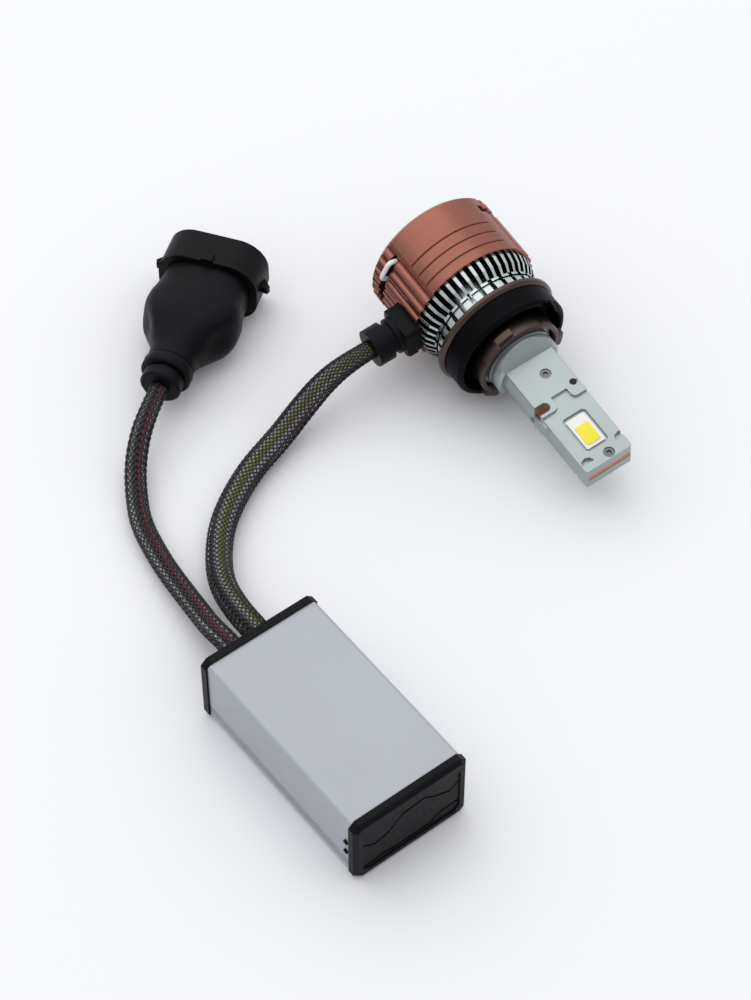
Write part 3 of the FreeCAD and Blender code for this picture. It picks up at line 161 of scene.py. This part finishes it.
def new_material(name):
    """A new material, the means to add nodes to it, and its principled shader."""
    material = bpy.data.materials.new(name)
    material.use_nodes = True
    tree = material.node_tree
    tree.nodes.clear()
    n = Nodes(tree)
    output = n.add("ShaderNodeOutputMaterial")
    shader = n.add("ShaderNodeBsdfPrincipled")
    tree.links.new(shader.outputs[0], output.inputs["Surface"])
    return material, n, shader


def rounded_normal(n, shader, height, strength, distance, edge):
    """Bump over softened edges, into the shader's normal."""
    bevel = n.add("ShaderNodeBevel", {"Radius": edge}, samples=4)
    bump = n.add("ShaderNodeBump", {"Strength": strength, "Distance": distance, "Height": height,
                                    "Normal": bevel.outputs[0]})
    n.tree.links.new(bump.outputs[0], shader.inputs["Normal"])


def surface(name, color, metallic=0.0, rough=0.5, spread=0.08, grain=2600.0, bump=0.15, depth=0.00003,
            blotch=90.0, tint=0.10, edge=0.00012, **sockets):
    """A grained surface: fine bump, uneven roughness and a faint cloudy change of colour."""
    material, n, shader = new_material(name)
    coords = n.object_coords()
    fine = n.noise(coords, grain, 4.0)
    cloud = n.noise(coords, blotch)
    n.tree.links.new(tinted(n, n.ramp(cloud, 0.0, 1.0), color, tint), shader.inputs["Base Color"])
    n.tree.links.new(n.ramp(fine, rough - spread, rough + spread), shader.inputs["Roughness"])
    set_sockets(shader, {"Metallic": metallic, **sockets})
    rounded_normal(n, shader, fine, bump, depth, edge)
    return material


def bulb_coords(n):
    """Coordinates, station along the bulb's axis, distance from it and the way outwards, in metres."""
    coords = n.object_coords()
    local = n.vector("SUBTRACT", coords, tuple(BULB_ORIGIN))
    station = n.vector("DOT_PRODUCT", local, tuple(BULB_AXIS))
    along = n.vector("SCALE", n.constant_vector(BULB_AXIS), scale=station)
    outward = n.vector("SUBTRACT", local, along)
    return coords, station, n.vector("LENGTH", outward), n.vector("NORMALIZE", outward)


def turned_metal(name, color, rough, lines=5200.0, edge=0.00015, line_strength=0.25, tint=0.06, dark=None,
                 spread=0.07, blotch=70.0, cloud_share=0.4, blend_range=(0.33, 0.67),
                 wall_range=(0.45, 0.6), wall_rough=0.2):
    """Metal turned on a lathe: fine rings round the bulb's axis.

    With dark, only what faces straight out from the axis or in to it is bright, and the slots' walls
    have that colour; wall_range is how much of a face has to point that way.
    """
    material, n, shader = new_material(name)
    coords, station, radius, outward = bulb_coords(n)
    ring_place = n.add("ShaderNodeCombineXYZ", {0: station, 1: radius, 2: 0.0}).outputs[0]
    rings = n.noise(ring_place, lines, roughness=0.6)
    cloud = n.noise(coords, blotch)
    mixed = n.blend(cloud, rings, cloud_share)
    tone = tinted(n, n.ramp(mixed, 0.0, 1.0, *blend_range), color, tint)
    rough_value = n.ramp(rings, rough - spread, rough + spread)
    if dark is not None:
        normal = n.add("ShaderNodeTexCoord").outputs["Normal"]
        facing = n.math("ABSOLUTE", n.vector("DOT_PRODUCT", normal, outward))
        cut = n.ramp(facing, 0.0, 1.0, *wall_range)
        tone = n.mix(cut, rgba(dark), tone)
        in_slot = n.math("SUBTRACT", 1.0, cut)
        rough_value = n.math("ADD", n.math("MULTIPLY", in_slot, wall_rough), rough_value)
    n.tree.links.new(tone, shader.inputs["Base Color"])
    n.tree.links.new(rough_value, shader.inputs["Roughness"])
    set_sockets(shader, {"Metallic": 1.0})
    rounded_normal(n, shader, rings, line_strength, FINE_BUMP_DEPTH, edge)
    return material


def brushed_metal(name, color, rough, direction, metallic, lines=2600.0, stretch=0.985, spread=0.06,
                  grain=5200.0, blotch=45.0, blend_range=(0.35, 0.65), line_strength=0.18, tint=0.04,
                  edge=0.0002):
    """Extruded metal with faint drawn lines along a direction.

    The lines are a fine noise drawn out that way: stretch is the share that its coordinates lose there.
    """
    material, n, shader = new_material(name)
    coords = n.object_coords()
    along = n.vector("DOT_PRODUCT", coords, tuple(direction))
    lost = n.vector("SCALE", n.constant_vector(direction), scale=n.math("MULTIPLY", along, stretch))
    streaks = n.noise(n.vector("SUBTRACT", coords, lost), lines, 4.0, 0.65)
    fine = n.noise(coords, grain, 2.0)
    cloud = n.noise(coords, blotch)
    place = n.ramp(n.blend(streaks, cloud, 0.5), 0.0, 1.0, *blend_range)
    n.tree.links.new(tinted(n, place, color, tint), shader.inputs["Base Color"])
    n.tree.links.new(n.ramp(streaks, rough - spread, rough + spread), shader.inputs["Roughness"])
    set_sockets(shader, {"Metallic": metallic})
    rounded_normal(n, shader, n.blend(streaks, fine, 0.5), line_strength, FINE_BUMP_DEPTH, edge)
    return material


MATERIALS = {
    "fan_shroud": turned_metal("rose_anodised", (0.275, 0.108, 0.080), 0.29, lines=2600, edge=0.0002,
                               line_strength=0.22, tint=0.16),
    "heatsink": turned_metal("machined_fins", (0.50, 0.56, 0.55), 0.25, dark=(0.018, 0.024, 0.023),
                             edge=0.00014),
    "lock_collar": turned_metal("bronze_anodised", (0.088, 0.062, 0.054), 0.3, edge=0.00018),
    "stalk": surface("blasted_aluminium", (0.355, 0.395, 0.39), metallic=0.75, rough=0.34, spread=0.06,
                     grain=5200, bump=0.3, depth=0.00002, edge=0.0002, tint=0.04),
    "copper": surface("rolled_copper", (0.55, 0.20, 0.09), metallic=1.0, rough=0.3, tint=0.2, blotch=500),
    "led_board": surface("white_ceramic", (0.80, 0.80, 0.77), rough=0.35, tint=0.03, edge=0.00006),
    "phosphor": surface("yellow_phosphor", (0.88, 0.76, 0.035), rough=0.55, tint=0.05, grain=9000, bump=0.3,
                        edge=0.00004),
    "steel": surface("bright_steel", (0.40, 0.40, 0.41), metallic=1.0, rough=0.33, edge=0.00008),
    "screw": surface("dark_steel", (0.17, 0.17, 0.18), metallic=1.0, rough=0.38, edge=0.00008),
    "rubber": surface("moulded_rubber", (0.0035, 0.0035, 0.0050), rough=0.45, grain=1900, bump=0.12,
                      tint=0.3, edge=0.00025, Specular_IOR_Level=0.11),
    "seal": surface("seal_rubber", (0.002, 0.002, 0.003), rough=0.42, grain=1500, bump=0.15, tint=0.3,
                    edge=0.0002, Specular_IOR_Level=0.045),
    "black_plastic": surface("moulded_plastic", (0.003, 0.003, 0.0042), rough=0.45, grain=1500, bump=0.25,
                             depth=0.00004, tint=0.2, edge=0.0002, Specular_IOR_Level=0.12),
    "white_wire": surface("white_insulation", (0.85, 0.85, 0.84), rough=0.35, tint=0.03),
    "case": brushed_metal("satin_extrusion", (0.395, 0.415, 0.445), 0.45, DRIVER_WAY, metallic=0.25),
    "magnet": surface("ferrite", (0.03, 0.03, 0.032), metallic=0.4, rough=0.5, tint=0.2),
    "bronze": surface("sintered_bronze", (0.45, 0.28, 0.10), metallic=1.0, rough=0.45, tint=0.2),
    "laminations": surface("stacked_sheet", (0.22, 0.22, 0.23), metallic=0.8, rough=0.45, tint=0.2),
    "board": surface("solder_mask", (0.02, 0.16, 0.05), rough=0.3, tint=0.15),
    "pad": surface("thermal_pad", (0.24, 0.28, 0.34), rough=0.7, tint=0.1, bump=0.4),
    "can": surface("sleeved_can", (0.05, 0.06, 0.09), rough=0.35, tint=0.1),
    "epoxy": surface("chip_epoxy", (0.016, 0.016, 0.016), rough=0.55, tint=0.2),
}
NODE_MATERIALS = {
    "fan_shroud": "fan_shroud", "fan_guard": "black_plastic", "guard_screws": "steel",
    "fan_frame": "black_plastic", "fan_rotor": "black_plastic", "fan_magnet": "magnet",
    "fan_shaft": "steel", "fan_bearing": "bronze", "fan_stator": "laminations", "fan_board": "board",
    "fan_wire": "white_wire", "heatsink": "heatsink", "lock_collar": "lock_collar",
    "collar_clip": "steel", "seal_ring": "seal", "stalk_front_half": "stalk",
    "stalk_rear_half": "stalk", "copper_core": "copper", "led_board_front": "led_board",
    "led_board_rear": "led_board", "led_emitter_front": "phosphor", "led_emitter_rear": "phosphor",
    "stalk_screws_front": "screw", "stalk_screws_rear": "screw", "cable_grommet": "rubber",
    "driver_case": "case", "front_cap": "black_plastic", "rear_cap": "black_plastic",
    "driver_board": "board", "thermal_pad": "pad", "power_inductor": "epoxy", "capacitors": "can",
    "control_chips": "epoxy", "plug_shroud": "black_plastic", "plug_boot": "rubber",
    "plug_nut": "rubber", "plug_pins": "steel",
}
for name, choice in NODE_MATERIALS.items():
    item = nodes[name]
    item.data.materials.clear()
    item.data.materials.append(MATERIALS[choice])

# ------------------------------------------------------------------ mesh helpers


def make_mesh(name, points, faces, materials, indices=None, smooth=True):
    """An object of the given points and faces; indices says which material each face has."""
    mesh = bpy.data.meshes.new(name)
    mesh.from_pydata([tuple(p) for p in points], [], [tuple(f) for f in faces])
    for material in materials:
        mesh.materials.append(material)
    if indices is not None:
        mesh.polygons.foreach_set("material_index", np.asarray(indices, np.int32))
    mesh.polygons.foreach_set("use_smooth", np.full(len(mesh.polygons), smooth))
    mesh.update()
    item = bpy.data.objects.new(name, mesh)
    bpy.context.scene.collection.objects.link(item)
    return item


def tube_faces(rings, sides, start=0):
    """Faces of a tube with closed ends, whose rings of points follow each other from start."""
    faces = []
    for i in range(rings - 1):
        for k in range(sides):
            a, b = start + i * sides + k, start + i * sides + (k + 1) % sides
            faces.append((a, b, b + sides, a + sides))
    faces.append(tuple(start + k for k in range(sides))[::-1])
    faces.append(tuple(start + (rings - 1) * sides + k for k in range(sides)))
    return faces


# ------------------------------------------------------------------ moulded boot behind the plug

# station along the plug, width and height of each section, millimetres
BOOT_RING = ((3.2, 9.6, 9.6), (3.25, 10.0, 10.0), (3.6, 10.5, 10.5), (5.3, 10.6, 10.6), (5.65, 10.4, 10.4),
             (5.75, 10.0, 10.0), (5.8, 9.2, 9.2), (6.1, 9.2, 9.2), (6.15, 9.7, 9.5))
BOOT_BODY = ((6.3, 9.9, 9.6), (9.2, 10.8, 10.2), (11.0, 12.9, 11.3), (13.0, 16.0, 12.6), (15.0, 19.0, 13.7),
             (17.0, 20.4, 14.2), (19.0, 20.6, 14.3), (21.5, 20.2, 14.2), (23.5, 19.2, 13.8),
             (25.5, 18.5, 13.4), (28.8, 18.2, 13.2))
BODY_STEP = 0.35
BOOT_SIDES = 96
# stations, and how square the section is there: 2 is an ellipse, and more is squarer
SQUARE_STATIONS, SQUARENESS = (6.2, 14.0, 28.8), (2.0, 2.5, 2.9)
# the thumb hollow on each side, in millimetres, and as shares of the section's half height and half width
HOLLOW_DEPTH, HOLLOW_STATION, HOLLOW_LENGTH = 1.5, 14.6, 2.9
HOLLOW_PLACE, HOLLOW_REACH = 0.32, 0.42
HOLLOW_START, HOLLOW_FADE = 0.5, 0.35


def smooth_rows(rows, step):
    """Rows between given rows, on a cubic through them."""
    rows = np.array(rows, float)
    t = rows[:, 0]
    slope = np.gradient(rows, t, axis=0)
    out = []
    for x in np.arange(t[0], t[-1] + step / 2, step):
        i = int(np.clip(np.searchsorted(t, x) - 1, 0, len(t) - 2))
        span = t[i + 1] - t[i]
        u = (x - t[i]) / span
        out.append((2 * u**3 - 3 * u**2 + 1) * rows[i] + (u**3 - 2 * u**2 + u) * span * slope[i]
                   + (3 * u**2 - 2 * u**3) * rows[i + 1] + (u**3 - u**2) * span * slope[i + 1])
        out[-1][0] = x
    return out


def boot_moulding():
    """A squashed bulb of rubber with a ring on its neck and a thumb hollow on each side."""
    points = []
    angles = np.arange(BOOT_SIDES) * math.tau / BOOT_SIDES
    sections = list(BOOT_RING) + smooth_rows(BOOT_BODY, BODY_STEP)
    for station, wide, tall in sections:
        power = 2.0 / np.interp(station, SQUARE_STATIONS, SQUARENESS)
        across = np.sign(np.cos(angles)) * np.abs(np.cos(angles)) ** power
        upward = np.sign(np.sin(angles)) * np.abs(np.sin(angles)) ** power
        hollow = (HOLLOW_DEPTH * math.exp(-((station - HOLLOW_STATION) / HOLLOW_LENGTH) ** 2)
                  * np.exp(-((upward - HOLLOW_PLACE) / HOLLOW_REACH) ** 2))
        hollow *= np.clip((np.abs(across) - HOLLOW_START) / HOLLOW_FADE, 0.0, 1.0)
        x = across * wide / 2 - np.sign(across) * hollow
        for k in range(BOOT_SIDES):
            points.append(PLUG @ (Vector((x[k], upward[k] * tall / 2, station)) * MM))
    faces = tube_faces(len(sections), BOOT_SIDES)
    return make_mesh("boot_moulding", points, faces, [MATERIALS["rubber"]])


boot = boot_moulding()
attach(boot, ROOT)
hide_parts("plug_boot")

# ------------------------------------------------------------------ braided cables

STRAND_STEP = 0.42 * MM        # between the sections of a strand
BRAID_PITCH = 20.0 * MM        # one turn of a filament
FILAMENT = 0.125 * MM          # half its thickness
FILAMENT_WIDENING = 1.25
FILAMENT_SIDES, WIRE_SIDES = 6, 10
LIFT = 0.13 * MM               # how far a filament goes out and in, over and under the others
LIFT_SHARPNESS, LIFT_PHASE = 2.2, 0.4
GRIP_REACH = 11.0 * MM         # how far from its held end the sleeve stays narrow
WIRE_GAP = 0.03 * MM           # between the wires and the sleeve
WANDER_RADIANS = 5.0           # what the wires' wandering goes through over the cable's length
BRAID_BLACK = surface("braid_black", (0.010, 0.010, 0.012), rough=0.3, spread=0.04, tint=0.2, edge=0.00003,
                      Specular_IOR_Level=0.45)
WIRE_COLORS = {
    "black": surface("wire_black", (0.012, 0.012, 0.014), rough=0.45, tint=0.2),
    "grey": surface("wire_grey", (0.66, 0.66, 0.68), rough=0.4, tint=0.1),
    "red": surface("wire_red", (0.44, 0.05, 0.10), rough=0.45, tint=0.15),
    "yellow": surface("wire_yellow", (0.50, 0.50, 0.11), rough=0.45, tint=0.15),
}


def route_line(name, points):
    """Points along the cable's smooth line, read from one NURBS spline."""
    curve = bpy.data.curves.new(name, "CURVE")
    curve.dimensions = "3D"
    spline = curve.splines.new("NURBS")
    spline.points.add(len(points) - 1)
    for place, point in zip(spline.points, points):
        place.co = (*point, 1.0)
    spline.order_u = 3
    spline.use_endpoint_u = True
    spline.resolution_u = 24
    holder = bpy.data.objects.new(name, curve)
    bpy.context.scene.collection.objects.link(holder)
    bpy.context.view_layer.update()
    mesh = bpy.data.meshes.new_from_object(holder)
    line = np.array([v.co for v in mesh.vertices], float)
    bpy.data.objects.remove(holder)
    bpy.data.meshes.remove(mesh)
    return line


def even_line(line, step):
    """Lengths along the line at even steps, and the points there."""
    gaps = np.linalg.norm(np.diff(line, axis=0), axis=1)
    s = np.concatenate(([0.0], np.cumsum(gaps)))
    count = int(s[-1] / step) + 2
    even = np.linspace(0.0, s[-1], count)
    return even, np.column_stack([np.interp(even, s, line[:, k]) for k in range(3)])


def carried_frames(line):
    """Two directions across the line at each point, without twist."""
    way = np.gradient(line, axis=0)
    way /= np.linalg.norm(way, axis=1)[:, None]
    side = np.cross(way[0], (0, 0, 1.0))
    side /= np.linalg.norm(side)
    sides = []
    for w in way:
        side = side - w * side.dot(w)
        side = side / np.linalg.norm(side)
        sides.append(side)
    sides = np.array(sides)
    return sides, np.cross(way, sides)


class Strands:
    """Collects many thin tubes into one mesh."""

    def __init__(self):
        self.points, self.faces, self.indices = [], [], []
        self.count = 0

    def tube(self, centre, outward, wide, tall, sides, index):
        """A closed tube along centre. wide is its half width across outward, and tall its half height."""
        way = np.gradient(centre, axis=0)
        way /= np.linalg.norm(way, axis=1)[:, None]
        out = outward - way * np.sum(outward * way, axis=1)[:, None]
        out /= np.linalg.norm(out, axis=1)[:, None]
        across = np.cross(way, out)
        angles = np.arange(sides) * math.tau / sides
        ring = (centre[:, None, :] + across[:, None, :] * (np.cos(angles) * wide)[None, :, None]
                + out[:, None, :] * (np.sin(angles) * tall)[None, :, None])
        self.points.append(ring.reshape(-1, 3))
        faces = tube_faces(len(centre), sides, self.count)
        self.faces += faces
        self.indices += [index] * len(faces)
        self.count += len(centre) * sides


def braided_cable(name, points, radius, carriers, grip, wires):
    """A sleeve of crossing filaments over insulated wires, along the cable's line.

    The sleeve is narrowed to the share grip where its first end is held.
    """
    line = route_line(name + "_line", points)
    s, centre = even_line(line, STRAND_STEP)
    side, up = carried_frames(centre)
    width = 1.0 - (1.0 - grip) * np.exp(-(s / GRIP_REACH) ** 2)
    middle = (radius - FILAMENT - LIFT) * width
    strands = Strands()
    for direction in (1, -1):
        for carrier in range(carriers):
            turn = carrier / carriers * math.tau + direction * math.tau * s / BRAID_PITCH
            over = np.tanh(LIFT_SHARPNESS * np.sin(carriers / 2 * turn + LIFT_PHASE)) * direction
            outward = side * np.cos(turn)[:, None] + up * np.sin(turn)[:, None]
            strands.tube(centre + outward * (middle + LIFT * over)[:, None], outward,
                         FILAMENT * FILAMENT_WIDENING, FILAMENT, FILAMENT_SIDES, 0)
    names = list(WIRE_COLORS)
    inner = middle - LIFT - FILAMENT - WIRE_GAP
    for color, thickness, orbit, start, twist in wires:
        turn = math.radians(start) + math.radians(twist) * np.sin(s / s[-1] * WANDER_RADIANS)
        outward = side * np.cos(turn)[:, None] + up * np.sin(turn)[:, None]
        wire_radius = thickness * MM
        reach = np.minimum(orbit * MM * width, inner - wire_radius)
        strands.tube(centre + outward * reach[:, None], outward,
                     wire_radius, wire_radius, WIRE_SIDES, 1 + names.index(color))
    item = make_mesh(name, np.vstack(strands.points), strands.faces,
                     [BRAID_BLACK] + [WIRE_COLORS[k] for k in names], strands.indices)
    return item, line


# the routes' points, metres, as the CAD source has them
BULB_ROUTE = [(0.016597, 0.041103, 0.011516), (0.010856, 0.041186, 0.010693), (0.0052, 0.0409, 0.0088),
              (-0.0009, 0.0398, 0.0057), (-0.0076, 0.0375, 0.0035), (-0.0177, 0.0338, 0.00285),
              (-0.0280, 0.0266, 0.00285), (-0.0338, 0.0191, 0.0032), (-0.0373, 0.0117, 0.0048),
              (-0.0387, 0.0037, 0.0070), (-0.038778, -0.002205, 0.00805), (-0.038356, -0.008090, 0.00805)]
INPUT_ROUTE = [(-0.02274, 0.05876, 0.0078), (-0.027279, 0.055149, 0.0078), (-0.0317, 0.0515, 0.0065),
               (-0.0358, 0.0469, 0.0040), (-0.0390, 0.0413, 0.0025), (-0.0419, 0.0346, 0.0024),
               (-0.0433, 0.0244, 0.0026), (-0.0437, 0.0184, 0.0032), (-0.0442, 0.0089, 0.0046),
               (-0.0449, 0.0033, 0.0067), (-0.044563, -0.002620, 0.00805),
               (-0.044141, -0.008505, 0.00805)]
# each wire: colour, radius and distance from the middle in millimetres, angle (270 faces up) and how far
# it wanders, in degrees
cable_bulb, bulb_line = braided_cable(
    "braid_bulb", BULB_ROUTE, radius=2.75 * MM, carriers=16, grip=0.74,
    wires=[("black", 0.75, 1.35, 325, 14), ("grey", 0.7, 1.4, 283, 12), ("yellow", 0.7, 1.45, 240, 20),
           ("grey", 0.65, 1.5, 200, 14), ("red", 0.55, 1.5, 165, 26), ("black", 0.8, 1.1, 90, 8)])
cable_input, input_line = braided_cable(
    "braid_input", INPUT_ROUTE, radius=2.3 * MM, carriers=14, grip=0.86,
    wires=[("grey", 0.6, 1.2, 325, 10), ("black", 0.55, 1.25, 277, -10), ("red", 0.5, 1.25, 240, -14),
           ("grey", 0.55, 1.2, 200, 8), ("black", 0.7, 0.9, 90, 0)])
for cable, node_name in ((cable_bulb, "cable_bulb"), (cable_input, "cable_input")):
    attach(cable, ROOT)
    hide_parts(node_name)

# ------------------------------------------------------------------ floor and light

# along the floor, to the camera's right and away from it
RIGHT = Vector((math.cos(AZIMUTH), math.sin(AZIMUTH), 0))
AWAY = Vector((-math.sin(AZIMUTH), math.cos(AZIMUTH), 0))
FLOOR_HALF = 4.0
BRIGHTEST = (AWAY * 0.40 - RIGHT * 0.06 + Vector((0, 0, 0.88))).normalized()
SKY_DARK, SKY_BRIGHT = (0.27, 0.28, 0.31), (1.19, 1.19, 1.205)
SKY_DARK_AT = -0.45
SKY_STRENGTH = 1.0
KEY_PLACE = TARGET + AWAY * 0.26 - RIGHT * 0.26 + Vector((0, 0, 0.74))
KEY_SIZE = (1.1, 1.1)
KEY_POWER = 1.8

paper, _, shader = new_material("pale_paper")
set_sockets(shader, {"Base Color": (0.86, 0.865, 0.885, 1), "Roughness": 0.75, "Specular IOR Level": 0.2})
corners = [(x * FLOOR_HALF, y * FLOOR_HALF, 0) for x, y in ((-1, -1), (1, -1), (1, 1), (-1, 1))]
floor = make_mesh("floor", corners, [(0, 1, 2, 3)], [paper], smooth=False)

world = bpy.data.worlds.new("studio")
bpy.context.scene.world = world
world.use_nodes = True
world.node_tree.nodes.clear()
n = Nodes(world.node_tree)
direction = n.add("ShaderNodeTexCoord").outputs["Generated"]
towards = n.vector("DOT_PRODUCT", direction, tuple(BRIGHTEST))
sky = n.mix(n.ramp(towards, 0.0, 1.0, SKY_DARK_AT, 1.0), rgba(SKY_DARK), rgba(SKY_BRIGHT))
background = n.add("ShaderNodeBackground", {"Color": sky, "Strength": SKY_STRENGTH})
output = n.add("ShaderNodeOutputWorld")
world.node_tree.links.new(background.outputs[0], output.inputs["Surface"])

key_data = bpy.data.lights.new("key", "AREA")
key_data.shape = "RECTANGLE"
key_data.size, key_data.size_y = KEY_SIZE
key_data.energy = KEY_POWER
key = bpy.data.objects.new("key", key_data)
bpy.context.scene.collection.objects.link(key)
key.location = KEY_PLACE
key.rotation_mode = "QUATERNION"
key.rotation_quaternion = (TARGET - KEY_PLACE).to_track_quat("-Z", "Y")
bpy.context.scene.view_settings.view_transform = "Standard"
